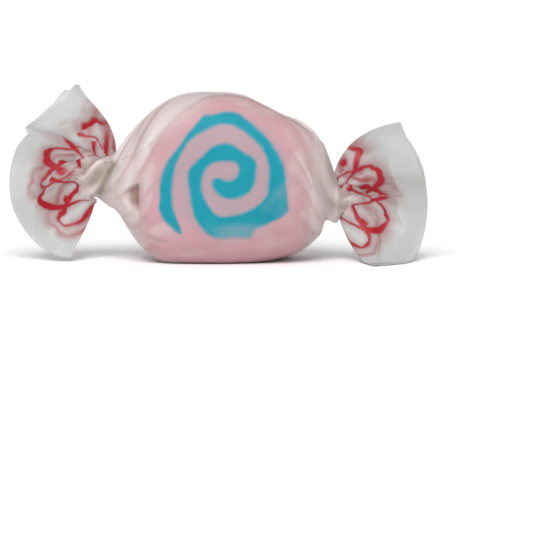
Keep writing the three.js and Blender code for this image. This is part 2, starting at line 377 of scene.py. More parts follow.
# The face that the paper clings to, seen from the front: direction from its middle in degrees,
# and radius.
FACE_MIDDLE = (0.4, 10.8)
FACE = (
    (-180, 11.6), (-168, 11.8), (-154, 12.8), (-141, 13.2), (-123, 12.6), (-90, 13.0), (-49, 13.0),
    (-25, 13.0), (-18, 11.8), (-3, 10.8), (12, 10.6), (35, 10.7), (56, 11.3), (74, 11.1), (90, 10.9),
    (112, 9.8), (140, 9.4), (165, 10.6), (180, 11.6),
)

# A hollow beside a fold on the left shoulder: its straight right side, its underside, its top
# there, how much the top falls for each millimetre to the left, and how wide it is.
HOLLOW_SIDE = -11.2
HOLLOW_UNDER = 6.7
HOLLOW_TOP = 11.1
HOLLOW_FALL = 0.7
HOLLOW_WIDTH = 2.9

# The painted shadow in the valley between the left twist's upper fold and the shoulder, as a fold line.
TWIST_VALLEY_SHADOW = ((-14.9, 12.9), (-16.9, 8.9), 1, 1.5, 1.1)


def hollow(x, toward, z):
    """How deep a point lies in the hollow of the front, which has one straight side."""
    inward = HOLLOW_SIDE - x
    top = HOLLOW_TOP - HOLLOW_FALL * np.maximum(inward, 0)
    under = HOLLOW_UNDER + 0.25 * np.maximum(inward, 0) ** 2
    high = smoothstep(top - z, 0, 0.9) * smoothstep(z - under, 0, 1.0)
    wide = smoothstep(inward, -0.1, 0.2) * smoothstep(inward, HOLLOW_WIDTH, 0.8)
    return high * wide * smoothstep(toward, 0.5, 3)


def fold_height(x, z, fold):
    """Height of one straight fold at points of the front."""
    start, end, tall, left, right = fold
    (x0, z0), (x1, z1) = start, end
    length = math.hypot(x1 - x0, z1 - z0)
    along = ((x - x0) * (x1 - x0) + (z - z0) * (z1 - z0)) / length**2
    aside = ((x1 - x0) * (z - z0) - (z1 - z0) * (x - x0)) / length
    past = np.maximum(np.abs(along - 0.5) - 0.5, 0) * length
    half_width = np.where(aside > 0, left, right)
    near = np.clip(1 - np.hypot(aside / half_width, past / (0.7 * max(left, right))), 0, 1)
    return tall * near**1.5


def as_seen(points):
    """Points of either cut face as (across, away, up) for a viewer who faces it."""
    x, y, z = np.moveaxis(points, -1, 0)
    return np.where(y > 0, -x, x), np.abs(y), z


def face_folds(points):
    """Height of all the single folds of both faces, which fade out round the sides."""
    x, y, z = as_seen(points)
    heights = [fold_height(x, z, fold) for fold in FACE_FOLDS]
    ridges = np.maximum(np.max(heights, axis=0), 0)
    valleys = np.minimum(np.min(heights, axis=0), 0)
    facing = smoothstep(y, 0.5, 4)
    return ridges * facing, valleys * facing - hollow(x, -points[..., 1], z)


def veils(points):
    """Where the paper over the face lies a little off the taffy and looks milky."""
    x, y, z = as_seen(points)
    total = np.zeros_like(x)
    for (at_x, at_z), (wide, high), amount in VEILS:
        away = np.hypot((x - at_x) / wide, (z - at_z) / high)
        uneven = 0.25 * wavy(x, z, 51, 1.5)
        total = np.maximum(total, amount * smoothstep(away + uneven, 1.2, 0.3))
    return total * smoothstep(y, 2, 6)


def past_face(points):
    """How far a point lies beyond the edge of the face, seen from the front."""
    across, up = points[..., 0] - FACE_MIDDLE[0], points[..., 2] - FACE_MIDDLE[1]
    directions, radii = zip(*FACE)
    edge = np.interp(np.degrees(np.arctan2(up, across)), directions, radii)
    return np.hypot(across, up) - edge


def free_edge_at(x):
    """Angle round the wrapper of the sheet's outer free edge at a distance along it."""
    edge_x, edge_angle = zip(*FREE_EDGE)
    return np.radians(np.interp(x, edge_x, edge_angle))


def flap_at(back):
    """Where the paper is the upper layer of the overlap: 1 there, 0 beyond it."""
    return smoothstep(back, OVERLAP + FLAP_FADE, OVERLAP)


def layer_step(back):
    """How far the upper layer of the overlap lies over the lower one: its free edge lies down."""
    return LAYER_STEP * flap_at(back) * lerp(1, EDGE_STEP, smoothstep(back, 0.1, 0))


def turned_by(x):
    """How far the twist has turned the paper at a distance along the wrapper."""
    turn = np.where(x < 0, math.radians(LEFT_FAN["turn"]), math.radians(RIGHT_FAN["turn"]))
    return turn * smoothstep(np.abs(x), TWIST_START, TWIST_END)


def tuck(x, settled):
    """How far a fold line of the left fan is pulled up over the twist, and how far out it stands.

    Between the second and the third angle the paper doubles back under the fold.
    """
    taken = (TUCK_START < -x) * smoothstep(-x, TUCK_START, TUCK_FULL)
    degrees = np.degrees(settled)
    pulled = np.interp(degrees, TUCK_ANGLES, TUCK_SHIFTS)
    proud = np.interp(degrees, TUCK_ANGLES, TUCK_STANDS)
    return taken * np.radians(pulled), taken * proud


def lump_paper(x, back):
    """Paper over the lump and into the twists: its points and what the material reads there.

    back is the angle from the sheet's outer free edge back to the point.
    """
    angle = free_edge_at(x) - back + turned_by(x)
    pulled, proud = tuck(x, math.radians(LEFT_FAN["folds"][-1][0]) - back)
    angle = angle + pulled
    smooth = lump_radius(x, angle) + proud
    base = round_axis(x, angle, smooth, PAPER_REST)
    edge_curl = smoothstep(back, 0.12, 0)
    gathered = gathered_at(x)
    ridges, valleys = face_folds(base)
    folds = shoulder_folds(x, angle)
    twisted = neck_folds(x, angle)
    across, depth, up = np.moveaxis(base, -1, 0)
    ahead, above = across + 0.6 * depth, up + 0.35 * depth
    crumple = 0.04 * wavy(ahead, above, 5, 4) + 0.012 * wavy(ahead, above, 6, 1.6)
    raised = folds - settled_at(x) + ridges + valleys
    raised = raised + crumple * smoothstep(np.abs(x), 3, 9)
    radius = smooth + lerp(raised, twisted, gathered) + layer_step(back)
    free = smoothstep(past_face(base), -0.8, 1.8)
    lift = 0.08 * flap_at(back) + 0.1 * edge_curl + 0.5 * folds + 0.5 * ridges + 0.75 * free + veils(base)
    # Painted shadow in the valley beside the left twist, on the front only.
    shadow = fold_height(across, up, TWIST_VALLEY_SHADOW) * smoothstep(-depth, 0, 1)
    return dict(
        points=round_axis(x, angle, radius, PAPER_REST),
        lift=np.clip(lift, 0, 1),
        layers=smoothstep(np.abs(x), 9.5, 13),
        shade=np.maximum(gathered * shade_of(x, angle, twisted), shadow),
        # Painted shade in the hollow beside the fold on the left shoulder, darker towards its straight
        # side.
        hollow_shade=np.clip(-valleys, 0, 1) * smoothstep(as_seen(base)[0], HOLLOW_SIDE - 2.6, HOLLOW_SIDE - 0.3),
        streak=tension_streaks(x, angle) * (1 - 0.6 * gathered),
        margin=smoothstep(back, 0.05, 0),
    )


# Fans -------------------------------------------------------------------------------------------


def fold_columns(fan, share, angle):
    """Place, depth and extra length of the paper at an angle round the sheet, by the fold lines."""
    angles = [fold[0] for fold in fan["folds"]]
    total = [np.zeros_like(share) for _ in range(3)]
    degrees = np.degrees(angle)
    for i in range(len(angles) - 1):
        first, second = fan["folds"][i], fan["folds"][i + 1]
        inside = (degrees >= angles[i]) & (
            (degrees < angles[i + 1]) | (i == len(angles) - 2)
        )
        t = (degrees - angles[i]) / (angles[i + 1] - angles[i])
        for column in range(3):
            low, high = (place_of(f[column + 1], share) for f in (first, second))
            total[column] = np.where(inside, lerp(low, high, t), total[column])
    return total


def place_of(value, share):
    """A fold line's value, which is one number or changes on the way out."""
    if isinstance(value, tuple):
        shares, places = zip(*value)
        return np.interp(share, shares, places)
    return np.full_like(share, value)


def frame_ridge(x, z):
    """The ridge pressed across the right fan, from 0 beside it to 1 on it."""
    (x0, z0), (x1, z1) = FRAME_LINE
    line = x0 + (z - z0) * (x1 - x0) / (z1 - z0) + 0.25 * np.sin(1.1 * z)
    return bump(x, line, 0.35) * smoothstep(z, z1 - 0.4, z1 + 0.6) * smoothstep(z, z0 + 0.4, z0 - 0.6)


def fan_paper(fan, reach, back):
    """Paper beyond a twist: its points and what the material reads there."""
    side = fan["side"]
    share = np.clip(reach / fan["length"], 0, 1)
    x_there = side * (fan["neck"] + reach)
    theta = free_edge_at(side * fan["neck"]) - back
    settled = math.radians(fan["folds"][-1][0]) - back
    pulled, proud = tuck(x_there, settled)
    angle = theta + turned_by(x_there) + pulled
    place, depth, extra = fold_columns(fan, share, settled)
    tight = smoothstep(place, 0.5, 0.85) * np.interp(np.degrees(settled), TONGUE_ANGLES, (1, 0, 0, 1))
    closed = 1 - smoothstep(reach, 0, fan["opening"] * (1 - TOP_TIGHTNESS * tight))

    upper_share = (place + 1) / 2
    opening = smoothstep(reach, 0, lerp(fan["opening"], fan["edge_opening"], place**2))
    lean = lerp(fan["lower_lean"], fan["upper_lean"], upper_share)
    lean = lean * (1 - share) ** fan["lean_fade"]
    fan_angle = opening * np.radians(lerp(fan["lower"], fan["upper"], upper_share) + lean)
    swing = share * np.radians(
        fan["lower_swing"] * smoothstep(-place, 0.3, 1)
        + fan["upper_swing"] * smoothstep(place, 0, 1)
    )
    out = (reach + extra * share) * np.cos(swing)

    gap = 0.45 + 0.55 * share
    ruffle = fan["ruffle_depth"] * share * creased(
        math.pi * fan["ruffles"] * place + fan["ruffle_phase"]
    )
    gathers = 0.25 * (1 - smoothstep(share, 0.15, 0.7)) * creased(13 * place + 2 * share, 0.9)
    between = 1 - place**2
    own = 0.03 * between * wavy(out, lerp(settled * 7, place * 6, smoothstep(share, 0.2, 0.5)), 31, 4)
    rings = 0.3 * bump(share, 0.8, 0.12) - 0.4 * bump(share, 0.58, 0.09)
    rings = rings * (0.6 + 0.4 * wavy(place * 6, 0 * place, 43, 3))
    curl = 0.2 * smoothstep(share, 0.75, 1) * wavy(place * 9, 0 * place, 37, 4)
    crumple = 0.2 * share * wavy(out * np.cos(fan_angle), out * np.sin(fan_angle), 41, 5)
    framed = frame_ridge(out * np.cos(fan_angle), out * np.sin(fan_angle)) * (side > 0) * (depth < 0)
    flat_y = reach * np.sin(swing) + ruffle + depth * gap + gathers + own + curl + crumple - rings
    flat_y = flat_y - 0.2 * framed

    smooth = lump_radius(side * fan["neck"] * np.ones_like(theta), angle) + proud
    smooth = smooth + layer_step(back)
    twisted = neck_folds(x_there, angle)
    round_part = (smooth + twisted) * closed

    y = flat_y * (1 - closed) + round_part * np.cos(angle)
    z = fan["height"] + out * np.sin(fan_angle) + round_part * np.sin(angle)
    x = side * (fan["neck"] + out * np.cos(fan_angle))
    points = np.stack([x, y, np.maximum(z, FAN_LIFT)], axis=-1)
    across = np.radians(lerp(fan["lower"], fan["upper"], upper_share)) * PRINT_RADIUS
    across = across + PRINT_SHIFT * np.floor(settled / LAYER_ANGLE)
    crease = np.zeros_like(share)
    for line, strength in fan["creases"]:
        from_fold = np.abs(settled - math.radians(line)) / CREASE_WIDTH
        crease = np.maximum(crease, strength * np.clip(1 - from_fold, 0, 1) * smoothstep(reach, 1, 3))
    return dict(
        points=points,
        lift=np.ones_like(share),
        layers=closed,
        shade=closed * shade_of(x_there, angle, twisted),
        free=smoothstep(reach, 1, 5),
        margin=0.8 * smoothstep(back, 0.05, 0),
        crease=np.maximum(crease, 0.6 * framed),
        across=across,
        out=reach,
        behind=smoothstep(depth, -0.3, 0.2),
    )


# The whole sheet --------------------------------------------------------------------------------

ATTRIBUTES = (
    "lift", "layers", "shade", "hollow_shade", "streak", "margin", "free", "crease", "across", "out",
    "behind",
)
COLUMNS = 208
SECTIONS = (
    (-LEFT_FAN["neck"] - LEFT_FAN["length"], 52),
    (-LEFT_FAN["neck"], 38),
    (-9, 40),
    (9, 38),
    (RIGHT_FAN["neck"], 52),
)
SHEET_END = RIGHT_FAN["neck"] + RIGHT_FAN["length"]
ROWS = sum(count for _, count in SECTIONS)


def station(share):
    """Distance along the wrapper of a row of the sheet, closer together where it gathers."""
    starts = [start for start, _ in SECTIONS] + [SHEET_END]
    rows = np.concatenate([[0], np.cumsum([count for _, count in SECTIONS])])
    return np.interp(share * ROWS, rows, starts)


def fold_backs():
    """Angles back from the free edge at the columns, with a column on each fold line of both fans."""
    backs = np.linspace(0, ROLLED, COLUMNS + 1)
    for fan in (LEFT_FAN, RIGHT_FAN):
        last = fan["folds"][-1][0]
        for line, *_ in fan["folds"][1:-1]:
            back = math.radians(last - line)
            backs[np.argmin(np.abs(backs - back))] = back
    return backs


def object_from(bm, name):
    mesh = bpy.data.meshes.new(name)
    bm.to_mesh(mesh)
    bm.free()
    made = bpy.data.objects.new(name, mesh)
    bpy.context.scene.collection.objects.link(made)
    return made


def coordinates(mesh):
    points = np.empty(len(mesh.vertices) * 3)
    mesh.vertices.foreach_get("co", points)
    return points.reshape(-1, 3)


def set_coordinates(mesh, points):
    mesh.vertices.foreach_set("co", np.ascontiguousarray(points).ravel())
    mesh.update()


def set_attribute(mesh, name, values):
    layer = mesh.attributes.new(name, "FLOAT", "POINT")
    layer.data.foreach_set("value", np.asarray(values, np.float32))


def make_sheet():
    """The sheet of paper in its folded shape, with what its material reads."""
    bm = bmesh.new()
    bmesh.ops.create_grid(bm, x_segments=COLUMNS, y_segments=ROWS, size=1)
    sheet = object_from(bm, "waxed_paper_wrapper")
    mesh = sheet.data
    flat = coordinates(mesh)
    around, along = (flat[:, 0] + 1) / 2, (flat[:, 1] + 1) / 2
    place = station(np.round(along * ROWS) / ROWS)
    back = fold_backs()[np.round((1 - around) * COLUMNS).astype(int)]

    points = np.zeros((len(place), 3))
    values = {name: np.zeros(len(place)) for name in ATTRIBUTES}

    def lay(here, made):
        points[here] = made.pop("points")
        for name, column in made.items():
            values[name][here] = column

    for fan in (LEFT_FAN, RIGHT_FAN):
        reach = fan["side"] * place - fan["neck"]
        here = reach > 0
        lay(here, fan_paper(fan, reach[here], back[here]))
    here = (place >= -LEFT_FAN["neck"]) & (place <= RIGHT_FAN["neck"])
    lay(here, lump_paper(place[here], back[here]))
    set_coordinates(mesh, points * MM)
    for name, column in values.items():
        set_attribute(mesh, name, column)
    mesh.shade_smooth()
    mesh.set_sharp_from_angle(angle=math.radians(50))
    return sheet


# The swirl --------------------------------------------------------------------------------------

SWIRL_CENTRE = (0.5, 11.35)
SWIRL_START = 231  # direction of the tail's tip, in degrees up from +X
# Degrees travelled clockwise from the tail, distance of the ribbon's middle, width of the ribbon.
SWIRL = (
    (2, 9.45, 0.15), (7, 9.35, 0.95), (14, 9.19, 1.38), (21, 9.14, 1.8),
    (28, 8.93, 1.9), (35, 8.54, 1.64), (49, 8.12, 1.6), (63, 7.81, 1.3),
    (77, 7.48, 0.88), (84, 7.38, 0.66), (98, 7.53, 0.78), (112, 7.72, 1.36),
    (119, 7.94, 1.84), (126, 7.87, 1.46), (140, 7.93, 1.54), (147, 7.78, 1.72),
    (161, 7.17, 1.46), (175, 6.75, 1.34), (196, 6.47, 1.42), (217, 6.36, 1.92),
    (238, 6.33, 2.34), (252, 6.79, 2.86), (259, 6.99, 3.46), (266, 6.87, 3.38),
    (273, 6.52, 2.96), (294, 6.06, 2.68), (301, 6.4, 3.36), (315, 6.16, 2.92),
    (336, 6.38, 2.88), (357, 5.65, 2.58), (374, 5.01, 2.06), (395, 4.5, 1.64),
    (423, 4.34, 1.96), (451, 3.82, 1.52), (479, 3.65, 2.22), (500, 3.52, 2.32),
    (528, 3.18, 1.72), (556, 2.86, 2.76), (577, 2.27, 2.7), (605, 1.82, 2.96),
    (661, 1.37, 2.54), (720, 1.24, 2.24), (762, 1.33, 1.78), (778, 1.31, 0.8),
)
SWIRL_STEP = 3  # degrees


def swirl_edges(turn):
    """The two edges of the ribbon at a turn, as points (x, z), outer first."""
    radius, width = curve_through(SWIRL, np.asarray(turn, float))
    direction = np.radians(SWIRL_START - np.asarray(turn, float))
    heading = np.stack([np.cos(direction), np.sin(direction)], axis=-1)
    edges = []
    for sign, phase in ((1, 0), (-1, 2)):
        uneven = 0.03 * np.sin(turn * 0.47 + phase) + 0.025 * np.sin(turn * 0.93 + 2 * phase)
        edges.append(SWIRL_CENTRE + heading * (radius + sign * width / 2 + uneven)[..., None])
    return edges


def make_ribbon():
    """The swirl from front to back, longer than the lump is deep."""
    turns = np.arange(SWIRL[0][0], SWIRL[-1][0] + SWIRL_STEP, SWIRL_STEP)
    outer, inner = swirl_edges(turns)
    bm = bmesh.new()
    pair = [bm.verts.new((p[0] * MM, -LUMP_DEPTH * MM, p[1] * MM)) for p in (outer[0], inner[0])]
    edge = bm.edges.new(pair)
    for far, near in zip(outer[1:], inner[1:]):
        made = bmesh.ops.extrude_edge_only(bm, edges=[edge])["geom"]
        edge = next(item for item in made if isinstance(item, bmesh.types.BMEdge))
        fresh = [item for item in made if isinstance(item, bmesh.types.BMVert)]
        fresh.sort(key=lambda v: (v.co - pair[0].co).length - (v.co - pair[1].co).length)
        for vert, point in zip(fresh, (far, near)):
            vert.co = (point[0] * MM, -LUMP_DEPTH * MM, point[1] * MM)
        pair = fresh
    wall = bmesh.ops.extrude_face_region(bm, geom=bm.faces[:])["geom"]
    moved = [item for item in wall if isinstance(item, bmesh.types.BMVert)]
    bmesh.ops.translate(bm, verts=moved, vec=(0, 2 * LUMP_DEPTH * MM, 0))
    bmesh.ops.recalc_face_normals(bm, faces=bm.faces[:])
    return object_from(bm, "ribbon")


def closing(x, half_width, squareness):
    """How a rounded outline closes towards its ends: 1 in the middle, 0 there."""
    return np.maximum(0, 1 - np.abs(x / half_width) ** squareness) ** (1 / squareness)


def make_lump():
    """The whole lump of taffy, before the swirl is cut from it."""
    bm = bmesh.new()
    bmesh.ops.create_uvsphere(bm, u_segments=220, v_segments=120, radius=1)
    bmesh.ops.rotate(bm, verts=bm.verts[:], matrix=Matrix.Rotation(math.pi / 2, 3, "Y"))
    lump = object_from(bm, "lump")
    ball = coordinates(lump.data)
    theta = np.arctan2(ball[:, 2], ball[:, 1])
    x = ball[:, 0] * TAFFY_WIDTH / 2
    radius = lump_radius(x, theta)
    filled = closing(x, TAFFY_WIDTH / 2, TAFFY_SQUARENESS) * lump_radius(0 * x, theta)
    ridges, valleys = face_folds(round_axis(x, theta, radius, TAFFY_REST))
    folds = 0.7 * shoulder_folds(x, theta) + 0.7 * ridges - settled_at(x) + valleys
    radius = radius + lerp(folds, neck_folds(x, theta), gathered_at(x))
    radius = np.minimum(radius, filled) - TAFFY_INSET
    set_coordinates(lump.data, round_axis(x, theta, np.maximum(radius, 0), TAFFY_REST) * MM)
    return lump


def cut(base, tool, operation, name):
    """A new object that is the base joined or cut by the tool."""
    modifier = base.modifiers.new("cut", "BOOLEAN")
    modifier.operation = operation
    modifier.solver = "MANIFOLD"
    modifier.object = tool
    graph = bpy.context.evaluated_depsgraph_get()
    mesh = bpy.data.meshes.new_from_object(base.evaluated_get(graph))
    base.modifiers.remove(modifier)
    mesh.name = name
    made = bpy.data.objects.new(name, mesh)
    bpy.context.scene.collection.objects.link(made)
    if not mesh.polygons:
        raise RuntimeError(f"cutting {name} left nothing")
    return made


def edge_distance(points):
    """Distance in the cut face's plane from each point to the nearest edge of the ribbon."""
    turns = np.arange(SWIRL[0][0], SWIRL[-1][0] + 1, 1.0)
    outer, inner = swirl_edges(turns)
    outline = np.concatenate([outer, inner])
    nearest = np.full(len(points), 9.0)
    for start in range(0, len(points), 4000):
        part = points[start : start + 4000, None, :] - outline[None]
        nearest[start : start + 4000] = np.sqrt((part**2).sum(-1).min(1))
    return nearest


# The print: a border of two waving strands with drops between them, in millimetres.
PRINT_MIDDLE = 4.9
PRINT_REACH = (0.6, 8.8)
STRAND_SWAY = 2.6
STRAND_RATES = (0.78, 1.02)
BEAD_SPACING = 4.1

# Materials --------------------------------------------------------------------------------------


def add(tree, kind, values=None, **settings):
    """A node with its settings, and its inputs set or linked by name or number."""
    node = tree.nodes.new(kind)
    for name, value in settings.items():
        setattr(node, name, value)
    for name, value in (values or {}).items():
        if isinstance(value, bpy.types.NodeSocket):
            tree.links.new(value, node.inputs[name])
        else:
            node.inputs[name].default_value = value
    return node


def calc(tree, operation, *values, clamp=False):
    """The result of a Math node."""
    node = add(tree, "ShaderNodeMath", dict(enumerate(values)), operation=operation)
    node.use_clamp = clamp
    return node.outputs[0]


def spread(tree, value, low, high, to_low=0.0, to_high=1.0, smooth=False):
    """A value moved from one range to another."""
    values = {"Value": value, "From Min": low, "From Max": high, "To Min": to_low, "To Max": to_high}
    kind = "SMOOTHSTEP" if smooth else "LINEAR"
    return add(tree, "ShaderNodeMapRange", values, interpolation_type=kind).outputs["Result"]


def mix_colour(tree, share, first, second):
    values = {0: share, 6: first, 7: second}
    return add(tree, "ShaderNodeMix", values, data_type="RGBA").outputs[2]


def attribute(tree, name):
    return add(tree, "ShaderNodeAttribute", attribute_name=name).outputs["Fac"]


def noise(tree, place, scale, **more):
    """Even noise from 0 to 1."""
    values = {"Vector": place, "Scale": scale, "Detail": 2.0, **more}
    return add(tree, "ShaderNodeTexNoise", values).outputs["Fac"]


def set_relief(tree, shader, height, strength, distance):
    values = {"Height": height, "Strength": strength, "Distance": distance}
    normal = add(tree, "ShaderNodeBump", values).outputs["Normal"]
    tree.links.new(normal, shader.inputs["Normal"])


def new_material(name):
    """A material with its node tree and its shader."""
    material = bpy.data.materials.new(name)
    material.use_nodes = True
    return material, material.node_tree, material.node_tree.nodes["Principled BSDF"]


def new_group(name, inputs, outputs):
    """An empty node group with float inputs and outputs, and its two end nodes."""
    group = bpy.data.node_groups.new(name, "ShaderNodeTree")
    for label, default in inputs.items():
        socket = group.interface.new_socket(label, in_out="INPUT", socket_type="NodeSocketFloat")
        socket.default_value = default
    for label in outputs:
        group.interface.new_socket(label, in_out="OUTPUT", socket_type="NodeSocketFloat")
    return group, group.nodes.new("NodeGroupInput"), group.nodes.new("NodeGroupOutput")


def pulled_sugar_group():
    """Faint streaks and grain of pulled sugar, for both colours of the taffy."""
    group, start, end = new_group("pulled sugar", {"Size": 1.0}, ("Streaks", "Grain"))
    place = add(group, "ShaderNodeTexCoord").outputs["Object"]
    streaks = noise(group, place, 420.0, Detail=3.0, Roughness=0.55, Distortion=0.6)
    grain = noise(group, place, 4200.0)
    scaled = calc(group, "MULTIPLY", calc(group, "SUBTRACT", streaks, 0.5), start.outputs["Size"])
    group.links.new(scaled, end.inputs["Streaks"])
    group.links.new(grain, end.inputs["Grain"])
    return group


def taffy_material(name, colour, inner, deeper, neighbour, bleed, halo):
    """Soft satin taffy that takes a little of its neighbour's colour where they meet.

    Its colour turns to the inner one inside the swirl, and to the deeper one in faint streaks.
    """
    material, tree, shader = new_material(name)
    sugar = add(tree, "ShaderNodeGroup", node_tree=bpy.data.node_groups["pulled sugar"])
    streaks, grain = sugar.outputs["Streaks"], sugar.outputs["Grain"]
    tone = mix_colour(tree, attribute(tree, "inner"), colour, inner)
    tone = mix_colour(tree, spread(tree, streaks, -0.2, 0.2, 0.3, 0.0), tone, deeper)
    near = attribute(tree, "edge_distance")
    wandering = calc(tree, "ADD", near, calc(tree, "MULTIPLY", streaks, 0.25))
    seam = spread(tree, wandering, 0.0, 0.3, bleed, 0.0, smooth=True)
    share = calc(tree, "ADD", seam, spread(tree, near, 0.0, 0.9, halo, 0.0, smooth=True))
    tree.links.new(mix_colour(tree, share, tone, neighbour), shader.inputs["Base Color"])
    roughness = spread(tree, grain, 0.3, 0.7, 0.42, 0.58)
    tree.links.new(roughness, shader.inputs["Roughness"])
    height = calc(tree, "ADD", calc(tree, "MULTIPLY", streaks, 0.8), calc(tree, "MULTIPLY", grain, 0.12))
    set_relief(tree, shader, height, 0.35, 0.0003)
    shader.inputs["Specular IOR Level"].default_value = 0.13
    shader.inputs["Subsurface Weight"].default_value = 0.08
    shader.inputs["Subsurface Radius"].default_value = (0.0008, 0.0006, 0.0006)
    return material


def strand(tree, across, along, phase, rate):
    """How far inside a waving strand of the print a point lies; the strand swells and thins."""
    angle = calc(tree, "MULTIPLY_ADD", across, rate, phase)
    middle = calc(tree, "MULTIPLY_ADD", calc(tree, "SINE", angle), STRAND_SWAY, PRINT_MIDDLE)
    slope = calc(tree, "MULTIPLY", calc(tree, "COSINE", angle), rate * STRAND_SWAY)
    steep = calc(tree, "SQRT", calc(tree, "MULTIPLY_ADD", slope, slope, 1.0))
    away = calc(tree, "DIVIDE", calc(tree, "ABSOLUTE", calc(tree, "SUBTRACT", along, middle)), steep)
    swell = calc(tree, "SINE", calc(tree, "MULTIPLY_ADD", angle, 1.5, phase))
    return calc(tree, "SUBTRACT", calc(tree, "MULTIPLY_ADD", swell, 0.14, 0.27), away)


def beads(tree, across, along):
    """How far inside the drops that hang between the strands a point lies."""
    sideways = calc(tree, "PINGPONG", calc(tree, "ADD", across, 40.0), BEAD_SPACING / 2)
    up = calc(tree, "MULTIPLY", calc(tree, "SUBTRACT", along, PRINT_MIDDLE), 0.7)
    squared = calc(tree, "MULTIPLY_ADD", sideways, sideways, calc(tree, "MULTIPLY", up, up))
    away = calc(tree, "SQRT", squared)
    return calc(tree, "SUBTRACT", 0.42, away)


def printed(tree, cloud, behind):
    """Cover of the print, blurred on the far layers, and of what shows through from the inside."""
    drift = calc(tree, "MULTIPLY", calc(tree, "SUBTRACT", cloud, 0.5), 2.2)
    across = calc(tree, "ADD", attribute(tree, "across"), drift)
    along = calc(tree, "ADD", attribute(tree, "out"), drift)
    first = strand(tree, across, along, 0.0, STRAND_RATES[0])
    second = strand(tree, across, along, 2.6, STRAND_RATES[1])
    over = calc(tree, "MAXIMUM", calc(tree, "MAXIMUM", first, second), beads(tree, across, along))
    soft = spread(tree, behind, 0.0, 1.0, 0.22, 1.2)
    drawn = calc(tree, "ADD", calc(tree, "DIVIDE", over, soft), 0.5, clamp=True)
    inner = spread(tree, along, PRINT_REACH[0], PRINT_REACH[0] + 1, smooth=True)
    outer = spread(tree, along, PRINT_REACH[1] - 0.6, PRINT_REACH[1], 1.0, 0.0, smooth=True)
    zone = calc(tree, "MULTIPLY", inner, outer)
    beyond = strand(tree, across, calc(tree, "SUBTRACT", along, 1.4), 2.2, 0.6)
    halo = spread(tree, over, -1.3, 0.2, 0.0, 0.7, smooth=True)
    through = calc(tree, "MAXIMUM", spread(tree, beyond, -0.8, 0.4, 0.0, 0.9, smooth=True), halo)
    return calc(tree, "MULTIPLY", drawn, zone), calc(tree, "MULTIPLY", through, inner)


def paper_material(settings):
    """Thin waxed paper: clear where it clings to the taffy, milky where it is lifted or folded, with
    painted shade in the twists' folds and in the hollow on the left shoulder.
    """
    material, tree, shader = new_material("waxed_paper")
    place = add(tree, "ShaderNodeTexCoord").outputs["Object"]
    names = ("lift", "layers", "shade", "hollow_shade", "streak", "margin", "free", "crease", "behind")
    lift, layers, shade, hollow_shade, streak, margin, free, crease, behind = (
        attribute(tree, name) for name in names
    )
    cloud, fine = noise(tree, place, 320.0), noise(tree, place, 2600.0)
    line = calc(tree, "POWER", crease, 2.5)

    drawn, through = printed(tree, cloud, behind)
    ink = calc(tree, "MULTIPLY", drawn, spread(tree, behind, 0.0, 1.0, 1.0, 0.75))
    blush = calc(tree, "MULTIPLY", through, spread(tree, cloud, 0.3, 0.7, 0.4, 0.95))

    def tinted(tone, share, colour):
        return mix_colour(tree, share, tone, (*colour, 1.0))

    tone = tinted((*settings.colour, 1.0), spread(tree, cloud, 0.35, 0.65, 0.0, 0.12), settings.free_colour)
    tone = tinted(tone, free, settings.free_colour)
    # Painted highlight along the fine streaks of the shoulders and painted shade between them.
    tone = tinted(tone, spread(tree, streak, 0.0, 1.0, 0.0, 0.5), (0.95, 0.9, 0.9))
    tone = tinted(tone, spread(tree, streak, 0.0, -1.0, 0.0, 0.55), (0.68, 0.45, 0.43))
    # Painted shade between the folds of the twists and in the valley beside the left twist.
    tone = tinted(tone, shade, settings.gathered_shade_colour)
    # Painted shade in the hollow beside the fold on the left shoulder.
    tone = tinted(tone, hollow_shade, settings.hollow_shade_colour)
    tone = tinted(tone, calc(tree, "MULTIPLY", line, 0.6), settings.colour)
    tone = tinted(tone, blush, settings.ink)
    tree.links.new(tinted(tone, ink, settings.ink), shader.inputs["Base Color"])

    cover = spread(tree, lift, 0.0, 1.0, settings.cling_cover, settings.lifted_cover)
    cover = calc(tree, "MULTIPLY_ADD", calc(tree, "MULTIPLY", lift, 0.06), cloud, cover)
    cover = calc(tree, "MULTIPLY_ADD", line, 0.2, cover)
    cover = calc(tree, "MULTIPLY_ADD", calc(tree, "MULTIPLY", streak, lift), 0.1, cover)
    # The painted shade is made nearly opaque, like the gathered layers, the fans and the print.
    for opaque, share in ((layers, 0.6), (free, 0.68), (shade, 0.9), (hollow_shade, 0.8), (ink, 0.97)):
        cover = calc(tree, "MAXIMUM", cover, calc(tree, "MULTIPLY", opaque, share), clamp=True)
    cover = calc(tree, "MULTIPLY", cover, calc(tree, "SUBTRACT", 1.0, margin))
    tree.links.new(cover, shader.inputs["Alpha"])
    tree.links.new(spread(tree, fine, 0.3, 0.7, 0.36, 0.5), shader.inputs["Roughness"])
    shader.inputs["Specular IOR Level"].default_value = 0.35
    height = calc(tree, "MULTIPLY_ADD", cloud, 0.6, calc(tree, "MULTIPLY", fine, 0.05))
    set_relief(tree, shader, height, 0.25, 0.0002)
    return material


def floor_material(colour):
    material, _, shader = new_material("pale_floor")
    shader.inputs["Base Color"].default_value = (*colour, 1.0)
    shader.inputs["Roughness"].default_value = 0.9
    return material


# Settings, operators and panel ------------------------------------------------------------------


COLOUR = dict(subtype="COLOR", size=3, min=0, max=1)


